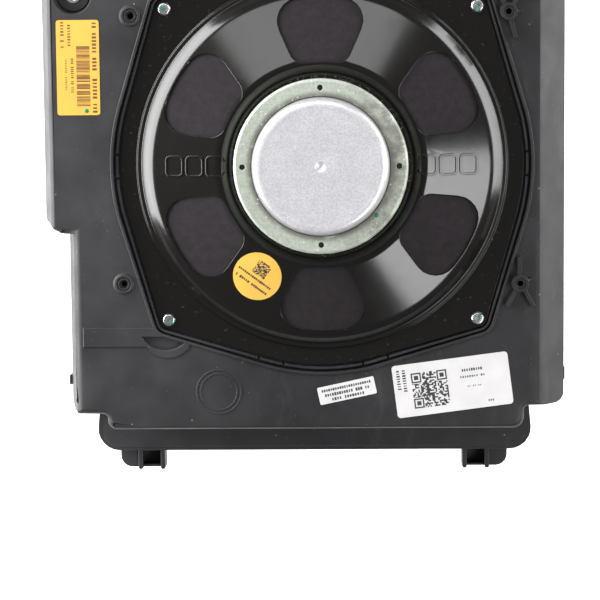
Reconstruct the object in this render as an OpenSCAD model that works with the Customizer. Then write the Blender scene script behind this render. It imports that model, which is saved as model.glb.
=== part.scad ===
// Under-seat car subwoofer: a shallow two-shell plastic box with an eight inch driver in its top
// face, magnet side out. The box lies flat. The origin is on the driver's axis, on the plane that
// the box rests on, with +Z towards the magnet and -Y towards the sill duct.

/* [Box] */
// Height of the box from the resting plane to its top face
face_z = 58; // [56:0.5:62]
// Height of the joint between the two shells
joint_z = 26; // [24:0.5:28]
// Wall thickness of both shells
wall = 2.5; // [2:0.1:3]
// Distance from the driver's axis to the left side
left_x = 166.5; // [164:0.5:170]
// Distance from the driver's axis to the narrower left side near the duct
left_low_x = 152.5; // [151:0.5:156]
// Distance from the driver's axis to the right side
right_x = 142.5; // [140:0.5:146]
// Distance from the driver's axis to the end that holds the connector
top_y = 140; // [138:1:150]
// How far the left side leans in from the joint to the top face
left_slope = 8; // [6:0.5:9]
// Width of the 45 degree chamfer between the top face and the right side
right_slope = 15.5; // [14:0.5:16]

/* [Sill duct] */
// Distance from the driver's axis to the edge of the duct flange
flange_y = 174; // [172:0.5:178]
// Width of the duct mouth
mouth_w = 164; // [120:1:166]
// Height of the duct mouth
mouth_h = 13; // [10:0.5:14]

/* [Driver] */
// Radius of the basket's round flange
flange_r = 117.5; // [116:0.5:118]
// Distance of the four basket screws from the driver's axis, along X and along Y
screw_xy = 90.75; // [90:0.25:91.5]
// Thickness of the basket's sheet steel
sheet = 1.2; // [1:0.1:1.4]
// Outer radius of the magnet's shielding can
can_r = 49.7; // [49:0.1:50]
// Radius of the steel cap on the back of the motor
cap_r = 39.2; // [38:0.1:39.4]
// Height of the cap's top above the resting plane
cap_z = 97.5; // [96.5:0.5:98]
// Radius of the outside of the voice coil
coil_r = 26.6; // [26.5:0.05:26.7]

/* [Labels] */
// Thickness of the printed labels
label_t = 0.2; // [0.15:0.05:0.3]

/* [Hidden] */
$fn = 96;
eps = 0.02;

// Heights of the driver's seat, its gasket and its flange
seat_z = face_z - 5;
seat_t = 2.5;
gasket_t = 1.5;
under_z = seat_z + gasket_t;
deck_z = under_z + sheet;
motor_z = 72.7;
plate_t = 5;
magnet_t = 10;
magnet_z = motor_z + plate_t;
yoke_z = magnet_z + magnet_t;
can_z = 92;
well_r = 52.8;
surround_r = 84;
neck_r = 25.7;
cone_z = 60.6;
edge_z = 55;
spider_z = 67;
rib_z = seat_z + 4;
floor_z = face_z - 8;
column_top = floor_z - 5.5;
grommet_r = 7;
head_z = 18;
boss_h = 4.5;
strip_h = 1;
pocket_y = -100.5;

// Radii of the driver's opening and of the ring outlines around it: [round part, screw ear]
opening_r = 103;
rib_in = [118.9, 6.3];
rib_out = [120.4, 7.6];
recess = [121.8, 8.6];
lip = [123.6, 10.2];
basket_edge = [flange_r, 5.2];

// Plan outlines, one [x, y, corner radius] for each corner, counter-clockwise
upper_outline = [
    [-128, -156, 5.5], [118, -156, 6.5], [118, -142.6, 3], [right_x, -142.2, 6],
    [right_x, top_y, 12], [-left_x, top_y, 12], [-left_x, -32.5, 6],
    [-left_low_x, -39.5, 4], [-left_low_x, -146.4, 7], [-128, -146.8, 2.8]
];
flange_outline = [
    [-139, -flange_y, 13], [126, -flange_y, 13], [123, -142.6, 4], [right_x, -142.2, 6],
    [right_x, top_y, 12], [-left_x, top_y, 12], [-left_x, -32.5, 6],
    [-left_low_x, -39.5, 4], [-left_low_x, -146.4, 7], [-136.5, -146.8, 4]
];
tray_outline = [
    [-136, 4 - flange_y, 12], [123, 4 - flange_y, 12], [121, -142.6, 4], [right_x, -142.2, 6],
    [right_x, top_y, 12], [-left_x, top_y, 12], [-left_x, -32.5, 6],
    [-left_low_x, -39.5, 4], [-left_low_x, -146.4, 7], [-134, -146.8, 4]
];
tray_y = 4 - flange_y;
mouth_x = -7;
mouth_z = 5;
step_w = 2.6;
step_z = joint_z - 1.6;
ledge_z = joint_z - 4.5;

// Places of the fasteners and bosses
housing_screw_xy = [
    [-150, 128], [-60, 131], [20, 131], [80, 131], [-150, 20], [119, 40], [-138, -62],
    [119, -48], [-142, -138], [119, -136], [-113, -147], [104, -147]
];
column_xy = [[-144, 99.5], [112, 121]];
flush_boss_xy = [[-110.4, 86.9], [-116.7, -69.1]];
ribbed_boss_xy = [[108.5, 87.2], [115.3, -70.1]];

// Window in the basket, centred on +Y, one [x, y, corner radius] for each corner
window = [[-15, 58.5, 9], [15, 58.5, 9], [30.5, 93, 13], [0, 98, 80], [-30.5, 93, 13]];
window_angles = [for (i = [0 : 5]) 60 * i];

// Outer face of the basket's dish, one [r, z, corner radius] for each corner, from the rim inwards
dish = [
    [110, deck_z, 0], [108.2, deck_z, 0.7], [107.6, 58, 0.7], [105.2, 58.4, 1],
    [99.5, 63.6, 14], [56.5, 78.9, 6.5], [well_r, motor_z, 2], [42, motor_z, 0]
];

// Routes of the flexible leads, [x, y, z]
tinsel_route = [
    [5, 56, 58.7], [5, 56.4, 60], [5, 57.6, 61.8], [5, 60, 63.6], [5, 64, 65.2], [5, 70, 66.2],
    [5, 77, 66], [5, 84, 64.5], [5, 90, 62.6], [5, 94, 61.7], [5, 96.9, 61.4]
];
lead_route = [
    [5, 113, 61.4], [5, 114.2, 61.5], [5, 115.6, 61.8], [4.9, 117.2, 62.3], [4.6, 119, 62.75],
    [4.3, 121, 63], [4, 123.2, 63], [4, 125, 63]
];

// ---- helpers ----

function unit(v) = v / norm(v);
function at(p) = [p[0], p[1]];

// Points of the arc that rounds the corner at p between its neighbours a and b
function corner(a, p, b, r, n) =
    let (u = unit(at(a) - at(p)), v = unit(at(b) - at(p)), half = acos(u * v) / 2,
         c = at(p) + unit(u + v) * r / sin(half), t = r / tan(half),
         s = at(p) + u * t - c, e = at(p) + v * t - c,
         a0 = atan2(s[1], s[0]), turn = atan2(e[1], e[0]) - a0,
         sweep = turn > 180 ? turn - 360 : turn < -180 ? turn + 360 : turn)
    [for (i = [0 : n]) c + r * [cos(a0 + sweep * i / n), sin(a0 + sweep * i / n)]];

// A closed outline of [x, y, r] corners as plain points
function rounded(pts, n = 6) =
    let (m = len(pts))
    [for (i = [0 : m - 1])
        each (pts[i][2] > 0 ? corner(pts[(i + m - 1) % m], pts[i], pts[(i + 1) % m], pts[i][2], n)
                            : [at(pts[i])])];

// An open path of [x, y, r] corners as plain points
function rounded_path(pts, n = 4) =
    [for (i = [0 : len(pts) - 1])
        each (pts[i][2] > 0 ? corner(pts[i - 1], pts[i], pts[i + 1], pts[i][2], n)
                            : [at(pts[i])])];

function left_of(a, b) = let (d = unit(at(b) - at(a))) [-d[1], d[0]];
function turns_left(a, p, b) = cross(at(p) - at(a), at(b) - at(p)) > 0;

// The corner p moved to the left of its two edges by d, with its radius to match
function shift(a, p, b, d) =
    let (n1 = left_of(a, p), n2 = left_of(p, b), q = at(p) + d * (n1 + n2) / (1 + n1 * n2),
         r = p[2] == 0 ? 0 : max(0.3, turns_left(a, p, b) ? p[2] - d : p[2] + d))
    [q[0], q[1], r];

// A counter-clockwise outline moved inwards by d
function inset(pts, d) =
    let (m = len(pts))
    [for (i = [0 : m - 1]) shift(pts[(i + m - 1) % m], pts[i], pts[(i + 1) % m], d)];

// An open path moved to its left by d, with its ends moved square to the path
function shift_path(pts, d) =
    let (m = len(pts), first = at(pts[0]) + d * left_of(pts[0], pts[1]),
         last = at(pts[m - 1]) + d * left_of(pts[m - 2], pts[m - 1]))
    [for (i = [0 : m - 1])
        i == 0 ? [first[0], first[1], 0] : i == m - 1 ? [last[0], last[1], 0]
        : shift(pts[i - 1], pts[i], pts[i + 1], d)];

function reversed(pts) = [for (i = [len(pts) - 1 : -1 : 0]) pts[i]];

// A band of thickness t under the dish, starting at depth d
function dish_band(d, t) =
    concat(rounded_path(shift_path(dish, d)), reversed(rounded_path(shift_path(dish, d + t))));

// The round outline with four screw ears: ring[0] is the round part's radius, ring[1] the ear's
function eared(ring, n = 9) =
    let (d = screw_xy * sqrt(2), open = acos((ring[0] - ring[1]) / d))
    [for (q = [0 : 3]) let (mid = 45 + 90 * q)
        each concat(
            [for (i = [0 : n - 1]) let (a = mid - 90 + open + i * (90 - 2 * open) / n)
                ring[0] * [cos(a), sin(a)]],
            [for (i = [0 : n]) let (a = mid - open + i * 2 * open / n)
                d * [cos(mid), sin(mid)] + ring[1] * [cos(a), sin(a)]])];

module slab(pts, z0, z1) {
    translate([0, 0, z0]) linear_extrude(z1 - z0) polygon(pts);
}

module disc(r, z0, z1) {
    translate([0, 0, z0]) cylinder(r = r, h = z1 - z0);
}

module box(x0, x1, y0, y1, z0, z1) {
    translate([x0, y0, z0]) cube([x1 - x0, y1 - y0, z1 - z0]);
}

module tube(r_in, r_out, z0, z1) {
    difference() {
        disc(r_out, z0, z1);
        disc(r_in, z0 - 1, z1 + 1);
    }
}

// A round ring with the section given as [r, z] points
module turned(section) {
    rotate_extrude() polygon(section);
}

module at_each(places) {
    for (p = places) translate([p[0], p[1], 0]) children();
}

module at_basket_screws() {
    for (x = [-1, 1], y = [-1, 1]) translate([x * screw_xy, y * screw_xy, 0]) children();
}

// A rectangle with round corners, w by h, centred, as a slab
module card(w, h, r, z0, z1) {
    slab(rounded([[-w / 2, -h / 2, r], [w / 2, -h / 2, r], [w / 2, h / 2, r], [-w / 2, h / 2, r]], 5),
         z0, z1);
}

// A round flexible lead swept along a route, closed at both ends
module lead(route, r, sides) {
    m = len(route);
    rings = [for (i = [0 : m - 1])
        let (d = unit(route[min(i + 1, m - 1)] - route[max(i - 1, 0)]),
             side = unit(cross(d, [1, 0, 0])), up = cross(d, side))
        [for (k = [0 : sides - 1]) let (a = 360 * k / sides)
            route[i] + r * (cos(a) * side + sin(a) * up)]];
    polyhedron(
        points = [for (g = rings) each g],
        faces = concat(
            [[for (k = [0 : sides - 1]) k]],
            [for (i = [0 : m - 2], k = [0 : sides - 1])
                let (a = i * sides + k, b = i * sides + (k + 1) % sides)
                [a, a + sides, b + sides, b]],
            [[for (k = [sides - 1 : -1 : 0]) (m - 1) * sides + k]]));
}

// ---- housing ----

// What shapes the long sides: wedges outside their sloping planes, moved inwards by d
module lean(d) {
    far = 40;
    top = face_z + 20;
    run = (top - joint_z) / (face_z - joint_z);
    for (side = [[-left_x, left_slope, -39.5, top_y + 1], [-left_low_x, left_slope - 1, -160, -39.5]])
        translate([0, side[3], 0]) rotate([90, 0, 0])
            linear_extrude(side[3] - side[2])
                polygon([[side[0] + d, joint_z], [side[0] + d + side[1] * run, top],
                         [side[0] - far, top], [side[0] - far, joint_z]]);
    edge = right_x + face_z - right_slope - d * 4 / 3;
    translate([0, top_y + 1, 0]) rotate([90, 0, 0])
        linear_extrude(top_y + 170)
            polygon([[right_x + 1, edge - right_x - 1], [right_x + far, edge - right_x - 1],
                     [right_x + far, top], [edge - top, top]]);
}

module upper_body() {
    difference() {
        slab(rounded(upper_outline), joint_z, face_z);
        lean(0);
    }
}

module upper_cavity() {
    difference() {
        slab(rounded(inset(upper_outline, wall)), joint_z - 1, face_z - wall);
        lean(wall * 1.06);
    }
}

// Screw boss that stands on the top face, with thin ribs and a short spur
module ribbed_boss(rib_angles, spur_angle) {
    disc(5, face_z - 10, face_z + boss_h);
    for (a = rib_angles) rotate(a) box(0, 15.5, -1.1, 1.1, face_z - 1, face_z + boss_h - 1);
    rotate(spur_angle) box(0, 8, -0.7, 0.7, face_z - 1, face_z + 1.6);
}

// Shallow round mound with a ringed hole that is closed below
module flush_boss() {
    top = face_z;
    turned([[0, top - 10], [5, top - 10], [5, top - 0.5], [6.8, top - 0.5], [5.6, top + 0.9],
            [4.2, top + 1.2], [4.2, top + 0.2], [3.4, top + 0.2], [3.4, top + 0.8],
            [2.6, top + 0.8], [2.6, top - 1], [1.7, top - 1], [1.7, top - 9], [0, top - 9]]);
}

module double_ring() {
    translate([-61.7, -133.4, 0]) {
        tube(12.6, 13.5, face_z - 0.5, face_z + 0.4);
        tube(10.4, 11.2, face_z - 0.5, face_z + 0.4);
    }
}

module housing_upper() {
    color([0.26, 0.26, 0.28]) {
        difference() {
            union() {
                difference() {
                    upper_body();
                    upper_cavity();
                }
                slab(eared(lip), seat_z - seat_t, face_z + 1.2);
                at_each(column_xy) disc(12.8, joint_z, face_z - 1);
                at_each(housing_screw_xy) disc(4.4, joint_z, face_z - wall + 1);
                at_basket_screws() disc(5, 36, seat_z);
                at_each(flush_boss_xy) flush_boss();
                translate(ribbed_boss_xy[0]) ribbed_boss([57, 118, -75], 3);
                translate(ribbed_boss_xy[1]) ribbed_boss([92, -120, -60], 18);
                double_ring();
                // Thicker floor below the finger pocket
                translate([-92.6, -98.5, 0]) disc(17, face_z - 5, face_z - 1);
                // Raised strip across the narrow left side, widened round the finger pocket
                box(-141.4, -86, -106.6, -94.8, face_z - 0.5, face_z + strip_h);
                intersection() {
                    translate([-91.5, -98, 0]) disc(15.4, face_z - 0.5, face_z + strip_h);
                    box(-110, -75, -115, pocket_y, face_z - 0.5, face_z + strip_h);
                }
            }
            // Seat for the driver
            slab(eared(recess), seat_z, face_z + 3);
            disc(opening_r, seat_z - 20, seat_z + 1);
            finger_pocket();
            at_basket_screws() disc(2, 37.5, seat_z + 1);
            at_each(housing_screw_xy) disc(2, joint_z - 1, joint_z + 15);
            at_each(flush_boss_xy) disc(2.6, face_z - 1, face_z + 2);
            at_each(flush_boss_xy) disc(1.7, face_z - 9, face_z);
            at_each(ribbed_boss_xy) disc(3.3, face_z + boss_h - 1, face_z + boss_h + 1);
            at_each(ribbed_boss_xy) disc(1.7, face_z - 9, face_z + boss_h);
            // Pockets and columns for the mounting bolts
            at_each(column_xy) {
                translate([0, 0, floor_z]) cylinder(r1 = 9.6, r2 = 11.6, h = face_z - floor_z + 1);
                disc(grommet_r, 40, floor_z + 1);
                disc(9.9, joint_z - 1, floor_z - 3);
            }
        }
        locating_rib();
    }
}

// Shallow crescent that lets a finger under the basket's edge
module finger_pocket() {
    difference() {
        intersection() {
            translate([-92.6, -92.3, 0]) disc(16, face_z - 2, face_z + 2);
            box(-112, -74, -112, pocket_y, face_z - 2, face_z + 2);
        }
        slab(eared(lip), face_z - 4, face_z + 3);
    }
}

// Interrupted rib that keeps the basket central in its seat
module locating_rib() {
    far = recess[0] + 1;
    near = opening_r + 5;
    difference() {
        slab(eared(rib_out), seat_z - eps, rib_z);
        slab(eared(rib_in), seat_z - 1, rib_z + 1);
        for (x = [-38, -23.5, 23.5, 38], y = [-far, near])
            box(x - 0.7, x + 0.7, y, y + far - near, seat_z, rib_z + 1);
        for (y = [-7.2, 6.6]) box(-far, far, y - 0.7, y + 0.7, seat_z, rib_z + 1);
    }
}

// Clip that hooks over the car's sill, drawn with its rounded outer corner on the left
module sill_hook() {
    far = tray_y - 15;
    plate = [[0, far, 7], [27.2, far, 0.8], [27.2, tray_y + 1, 0], [0, tray_y + 1, 0]];
    difference() {
        union() {
            slab(rounded(plate), 8, 19);
            for (x = [10.8, 24.4]) translate([x, 0, 0]) slab(rounded(
                [[0, far - 1.3, 1.2], [2.8, far - 1.3, 1.2], [2.8, tray_y + 1, 0], [0, tray_y + 1, 0]]),
                8, 21);
        }
        box(13.6, 24.4, far + 1.6, tray_y - 0.6, 10, 22);
    }
}

// Ring that follows the upper shell's outline, from a to b inside it
module rim_ring(a, b, z0, z1) {
    difference() {
        slab(rounded(inset(upper_outline, a)), z0, z1);
        slab(rounded(inset(upper_outline, b)), z0 - 1, z1 + 1);
    }
}

// Solid form of the tray with its duct flange
module tray_body() {
    slab(rounded(tray_outline), 0, ledge_z + 1);
    slab(rounded(flange_outline), ledge_z, step_z);
    slab(rounded(inset(flange_outline, step_w)), step_z - 1, joint_z);
    slab(rounded(upper_outline), ledge_z, joint_z);
}

module housing_lower() {
    color([0.22, 0.22, 0.24])
    difference() {
        union() {
            difference() {
                tray_body();
                slab(rounded(inset(tray_outline, wall)), wall, joint_z - wall);
                slab(rounded(inset(upper_outline, wall)), joint_z - wall - 1, joint_z + 1);
            }
            at_each(column_xy) disc(9.6, 0, column_top);
            at_each(housing_screw_xy) disc(5.2, 0, joint_z);
            translate([-124.8, 0, 0]) sill_hook();
            translate([110.6, 0, 0]) mirror([1, 0, 0]) sill_hook();
            // Locating lugs on the long sides
            box(-left_low_x - 2, -left_low_x + 1, -133, -127.2, 14, joint_z - 1);
            box(right_x - 1, right_x + 2.4, -131.5, -124, 14, joint_z - 1);
        }
        at_each(column_xy) disc(7.2, -1, column_top + 1);
        at_each(housing_screw_xy) disc(2.3, -1, joint_z + 1);
        at_each(housing_screw_xy) disc(4.2, -1, head_z);
        duct_mouth(tray_y - 1, tray_y + wall + 1);
        // Groove for the seal
        rim_ring(0.7, 1.8, joint_z - 1, joint_z + 1);
    }
}

// The opening between the hooks that joins the box to the car's sill
module duct_mouth(y0, y1) {
    box(mouth_x - mouth_w / 2, mouth_x + mouth_w / 2, y0, y1, mouth_z, mouth_z + mouth_h);
}

module housing_seal() {
    color([0.1, 0.1, 0.1]) rim_ring(0.85, 1.65, joint_z - 1, joint_z);
}

module housing_screws() {
    color("silver") at_each(housing_screw_xy) {
        disc(1.9, head_z - 1, joint_z + 14);
        difference() {
            disc(3.8, head_z - 2.6, head_z);
            translate([0, 0, head_z - 3.6]) cylinder(r = 1.7, h = 2.2, $fn = 6);
        }
    }
}

// Foam frame around the duct mouth
module duct_gasket() {
    x0 = mouth_x - mouth_w / 2;
    x1 = mouth_x + mouth_w / 2;
    color([0.08, 0.08, 0.08])
    difference() {
        box(x0 - 5, x1 + 5, tray_y - 3.4, tray_y, mouth_z - 3, mouth_z + mouth_h + 3);
        duct_mouth(tray_y - 5, tray_y + 1);
    }
}

// Rubber bushes that clamp into the floors of the mounting pockets
module mounting_grommets() {
    color([0.1, 0.1, 0.1]) at_each(column_xy)
        turned([[4.6, floor_z - 5], [9.4, floor_z - 5], [9.4, floor_z - 3], [grommet_r, floor_z - 3],
                [grommet_r, floor_z], [9.2, floor_z], [9.2, floor_z + 2], [4.6, floor_z + 2]]);
}

module mounting_sleeves() {
    color("silver") at_each(column_xy) tube(3.3, 4.55, floor_z - 5.4, floor_z + 2.6);
}

// ---- driver: frame and motor ----

// Raised outlines pressed into two of the basket's arms
module pressed_outlines() {
    intersection() {
        turned(dish_band(-0.5, 0.8));
        for (side = [0, 180], x = [61.2, 73.1, 85]) rotate(side) translate([x, 0, 0])
            difference() {
                card(11, 12.6, 3, 60, 90);
                card(8.2, 9.8, 1.8, 59, 91);
            }
    }
}

module basket() {
    color([0.09, 0.085, 0.08])
    difference() {
        union() {
            difference() {
                slab(eared(basket_edge), under_z, deck_z);
                disc(109, under_z - 1, deck_z + 1);
            }
            turned(dish_band(0, sheet));
            pressed_outlines();
        }
        for (a = window_angles) rotate(a) slab(rounded(window), 60, 90);
        at_basket_screws() disc(2.3, under_z - 1, deck_z + 1);
        // Slot for the terminal block
        box(-9, 9, 97.5, 108, 59.4, 63.4);
    }
}

module basket_gasket() {
    color([0.07, 0.07, 0.07])
    difference() {
        slab(eared(basket_edge), seat_z, under_z);
        disc(108.6, seat_z - 1, under_z + 1);
        at_basket_screws() disc(2.3, seat_z - 1, under_z + 1);
    }
}

module basket_screws() {
    color("silver") at_basket_screws() {
        disc(1.9, 38.5, deck_z + 1);
        difference() {
            turned([[0, deck_z], [3.8, deck_z], [3.8, deck_z + 1.2], [3.2, deck_z + 2],
                    [2.2, deck_z + 2.3], [0, deck_z + 2.3]]);
            translate([0, 0, deck_z + 1.1]) cylinder(r = 1.5, h = 3, $fn = 6);
        }
    }
}

// Felt glued behind one window
module window_felt(i) {
    color([0.24, 0.22, 0.25])
    difference() {
        intersection() {
            turned(dish_band(sheet + 0.03, 1));
            rotate(window_angles[i - 1]) slab(rounded(inset(window, -2)), 55, 90);
        }
        // Notch that clears the terminal block
        box(-9.4, 9.4, 97.1, 110, 55, 75);
    }
}

module front_plate() {
    color([0.6, 0.6, 0.62]) tube(coil_r + 0.7, 46, motor_z, magnet_z);
}

module magnet_ring() {
    color([0.2, 0.2, 0.2]) tube(31, 47, magnet_z, yoke_z);
}

// Back plate and pole in one piece; its round back shows through the can
module yoke() {
    flange_z = can_z - 1.4;
    color([0.78, 0.79, 0.8]) turned(concat(
        [[0, motor_z - 1], [24.4, motor_z - 1], [24.4, yoke_z + 5], [30, yoke_z + 5], [30, yoke_z],
         [46, yoke_z], [46, flange_z], [cap_r, flange_z]],
        corner([cap_r, flange_z], [cap_r, cap_z], [5, cap_z], 5, 8),
        [[5, cap_z], [0, cap_z - 0.8]]));
}

// Pressed can that shields the magnet, with four fixture holes
module magnet_can() {
    color([0.62, 0.66, 0.6])
    difference() {
        turned(concat(
            [[can_r - 1.2, motor_z], [can_r, motor_z]],
            corner([can_r, motor_z], [can_r, can_z], [cap_r, can_z], 2, 4),
            [[cap_r + 0.4, can_z], [cap_r + 0.4, can_z - 1.2], [can_r - 1.2, can_z - 1.2]]));
        for (a = [0, 90, 180, 270]) rotate(a) translate([44.5, 0, 0]) disc(1.6, can_z - 3, can_z + 1);
    }
}

module spider_ring() {
    color([0.3, 0.3, 0.3]) tube(45.5, 50, spider_z, motor_z - sheet);
}

// ---- driver: moving pieces and their suspension ----

// Corrugated cloth ring that centres the coil
module spider() {
    path = concat(
        [[50, spider_z, 0], [45.6, spider_z, 0.6]],
        [for (i = [0 : 5]) [43.4 - 2.7 * i, spider_z + (i % 2 == 0 ? -1.6 : 0.2), 0.7]],
        [[27.6, spider_z - 0.8, 0.4], [neck_r + 0.03, spider_z - 0.8, 0]]);
    color([0.75, 0.6, 0.3])
        turned(concat(rounded_path(path, 3), reversed(rounded_path(shift_path(path, 0.6), 3))));
}

module cone() {
    color([0.12, 0.12, 0.12])
        turned([[neck_r + 0.03, cone_z], [80, edge_z], [surround_r, edge_z],
                [surround_r, edge_z - 0.9], [80, edge_z - 0.9], [neck_r + 0.03, cone_z - 0.9]]);
}

// Half-roll edge between the cone and the basket
module surround() {
    roll_r = 8.6;
    roll_c = surround_r + 0.6 + roll_r;
    path = concat(
        [[80, edge_z - 0.9, 0]],
        [for (a = [180 : 12 : 360]) [roll_c + roll_r * cos(a), edge_z - 0.9 + roll_r * sin(a), 0]],
        [[roll_c + roll_r, under_z, 0], [108.2, under_z, 0]]);
    color([0.1, 0.1, 0.1])
        turned(concat([for (p = path) at(p)], reversed([for (p = shift_path(path, -0.7)) at(p)])));
}

// Shallow dome glued to the front of the cone
module dust_cap() {
    rise = 5;
    rim = 29;
    top = cone_z - 1.8;
    ball = (rim * rim + rise * rise) / (2 * rise);
    dome = [for (r = [rim : -2.9 : 0.1]) [r, top - rise + ball - sqrt(ball * ball - r * r), 0]];
    path = concat([[31, top, 0]], dome, [[0, top - rise, 0]]);
    color([0.1, 0.1, 0.1])
        turned(concat([for (p = path) at(p)], [[0, top - rise - 0.5]],
                      reversed([for (p = concat([[31, top, 0]], dome)) at(p) - [0, 0.5]])));
}

module voice_coil_former() {
    color([0.7, 0.6, 0.35]) tube(neck_r - 0.3, neck_r, cone_z - 1.6, 82);
}

module voice_coil_winding() {
    color([0.72, 0.4, 0.2]) tube(neck_r + 0.02, coil_r, 69.6, 80.8);
}

module tinsel_lead_pos() {
    color([0.75, 0.5, 0.3]) lead(tinsel_route, 0.7, 8);
}

module tinsel_lead_neg() {
    color([0.75, 0.5, 0.3]) mirror([1, 0, 0]) lead(tinsel_route, 0.7, 8);
}

// ---- electrical pieces ----

module terminal_block() {
    color([0.15, 0.15, 0.16])
    difference() {
        union() {
            box(-8.8, 8.8, 98.6, 111, 59.6, 63.2);
            box(-11, 11, 106.6, 111, deck_z + 3.2, 65.6);
        }
        for (x = [-5, 5]) box(x - 1.45, x + 1.45, 90, 120, 60.95, 61.85);
    }
}

module terminal() {
    color([0.85, 0.7, 0.35]) box(3.6, 6.4, 96.9, 112.88, 61, 61.8);
}

module terminal_pos() {
    terminal();
}

module terminal_neg() {
    mirror([1, 0, 0]) terminal();
}

module lead_pos() {
    color([0.6, 0.1, 0.1]) lead(lead_route, 1.1, 10);
}

module lead_neg() {
    color([0.1, 0.1, 0.1]) mirror([1, 0, 0]) lead(lead_route, 1.1, 10);
}

// Socket for the car's loudspeaker plug, open towards the end of the box
module connector_socket() {
    color([0.12, 0.12, 0.13])
    difference() {
        box(-13, 13, 125, top_y - 1, face_z, face_z + 10);
        box(-10.5, 10.5, 128.5, top_y, face_z + 2, face_z + 8.4);
        for (x = [-4, 4]) box(x - 0.85, x + 0.85, 124, 130, face_z + 4.15, face_z + 5.85);
    }
}

module connector_pins() {
    color([0.85, 0.7, 0.35])
        for (x = [-4, 4]) box(x - 0.8, x + 0.8, 125, 133.5, face_z + 4.2, face_z + 5.8);
}

// ---- labels ----

module part_label() {
    color([0.95, 0.75, 0.2])
        translate([-141.2, 57.4, 0]) card(25, 55, 1.6, face_z, face_z + label_t);
}

module round_label() {
    color([0.95, 0.75, 0.25])
    intersection() {
        turned(dish_band(-label_t, label_t - 0.01));
        translate([-37.6, -63.8, 0]) disc(14.2, 65, 85);
    }
}

module small_label() {
    color("white")
        translate([13.8, -133, 0]) rotate(12) card(34, 10.4, 0.8, face_z, face_z + label_t);
}

module large_label() {
    color("white")
        translate([75.8, -129.9, 0]) rotate(7.3) card(68.5, 31.2, 2, face_z, face_z + label_t);
}

housing_upper();
housing_lower();
housing_seal();
housing_screws();
duct_gasket();
mounting_grommets();
mounting_sleeves();
basket();
basket_gasket();
basket_screws();
window_felt(1);  // window_felt_1
window_felt(2);  // window_felt_2
window_felt(3);  // window_felt_3
window_felt(4);  // window_felt_4
window_felt(5);  // window_felt_5
window_felt(6);  // window_felt_6
front_plate();
magnet_ring();
yoke();
magnet_can();
spider_ring();
spider();
cone();
surround();
dust_cap();
voice_coil_former();
voice_coil_winding();
tinsel_lead_pos();
tinsel_lead_neg();
terminal_block();
terminal_pos();
terminal_neg();
lead_pos();
lead_neg();
connector_socket();
connector_pins();
part_label();
round_label();
small_label();
large_label();
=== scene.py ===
"""Builds the visible pieces of an under-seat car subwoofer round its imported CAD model."""

import math

import bmesh
import bpy
import numpy as np
from bpy.props import FloatProperty, FloatVectorProperty, IntProperty, PointerProperty
from mathutils import Matrix, Vector


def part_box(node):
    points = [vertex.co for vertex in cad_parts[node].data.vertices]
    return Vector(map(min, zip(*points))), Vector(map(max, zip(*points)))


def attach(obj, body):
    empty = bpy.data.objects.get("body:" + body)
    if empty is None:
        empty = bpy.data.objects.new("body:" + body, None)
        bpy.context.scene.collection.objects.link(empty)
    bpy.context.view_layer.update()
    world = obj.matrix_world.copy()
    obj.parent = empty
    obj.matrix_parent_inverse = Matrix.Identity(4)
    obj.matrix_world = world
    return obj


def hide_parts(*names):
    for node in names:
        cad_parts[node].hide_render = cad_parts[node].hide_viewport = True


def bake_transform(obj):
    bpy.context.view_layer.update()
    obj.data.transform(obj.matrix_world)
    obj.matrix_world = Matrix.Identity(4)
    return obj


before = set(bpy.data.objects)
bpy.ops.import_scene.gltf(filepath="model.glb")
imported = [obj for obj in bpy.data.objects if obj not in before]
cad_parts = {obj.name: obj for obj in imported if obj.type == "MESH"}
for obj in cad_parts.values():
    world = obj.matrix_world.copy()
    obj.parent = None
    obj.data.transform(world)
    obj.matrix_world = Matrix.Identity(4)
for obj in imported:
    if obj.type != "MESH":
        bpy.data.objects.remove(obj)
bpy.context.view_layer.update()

bl_info = {
    "name": "Under-seat subwoofer",
    "version": (1, 0, 0),
    "blender": (4, 5, 0),
    "location": "View3D > Sidebar > Subwoofer",
    "description": "Shells, driver, labels and stage of an under-seat car subwoofer",
    "category": "Object",
}

MM = 0.001
FACE_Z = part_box("part_label")[0].z
JOINT_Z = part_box("housing_upper")[0].z
DECK_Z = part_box("basket_gasket")[1].z + 1.2 * MM
SCREW_XY = 90.75 * MM
WINDOWS = [f"window_felt_{i}" for i in range(1, 7)]


# ---- settings ----


def colour(name, default, description):
    return FloatVectorProperty(
        name=name, description=description, default=default, min=0, max=1, subtype="COLOR"
    )


def length(name, default, description):
    return FloatProperty(
        name=name, description=description, default=default, min=0, precision=5, unit="LENGTH"
    )


def share(name, default, description):
    return FloatProperty(
        name=name, description=description, default=default, min=0, max=1, subtype="FACTOR"
    )


class StageSettings(bpy.types.PropertyGroup):
    floor: colour("Floor", (0.93, 0.93, 0.93), "Colour of the floor")
    camera_place: FloatVectorProperty(
        name="Camera place", description="Where the camera stands",
        default=(0.02003, 0.04121, 1.24944), subtype="TRANSLATION",
    )
    camera_turn: FloatVectorProperty(
        name="Camera turn", description="Turn of the camera from looking straight down",
        default=tuple(math.radians(a) for a in (-5.776, 1.576, -0.4615)), subtype="AXISANGLE", size=3,
    )
    lens: FloatProperty(name="Lens", description="Focal length in mm", default=122.56, min=10)
    glow: FloatProperty(name="Glow", description="Light that the floor itself gives", default=1.1, min=0)
    sky: FloatProperty(name="Sky", description="Strength of the even light", default=0.18, min=0)


class HousingSettings(bpy.types.PropertyGroup):
    plastic: colour("Plastic", (0.013, 0.0122, 0.0140), "Colour of the moulded shells")
    rim: length("Rim rounding", 3.6 * MM, "Rounding of the top face's rim")
    edge: length("Edge rounding", 0.5 * MM, "Rounding of the lip and the small ribs")
    # Dust also sets the painted highlight that lightens the plastic towards -X
    dust: share("Dust", 0.35, "How much dust lies on the plastic")
    scuffs: share("Scuffs", 0.5, "How scuffed the plastic is")


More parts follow.
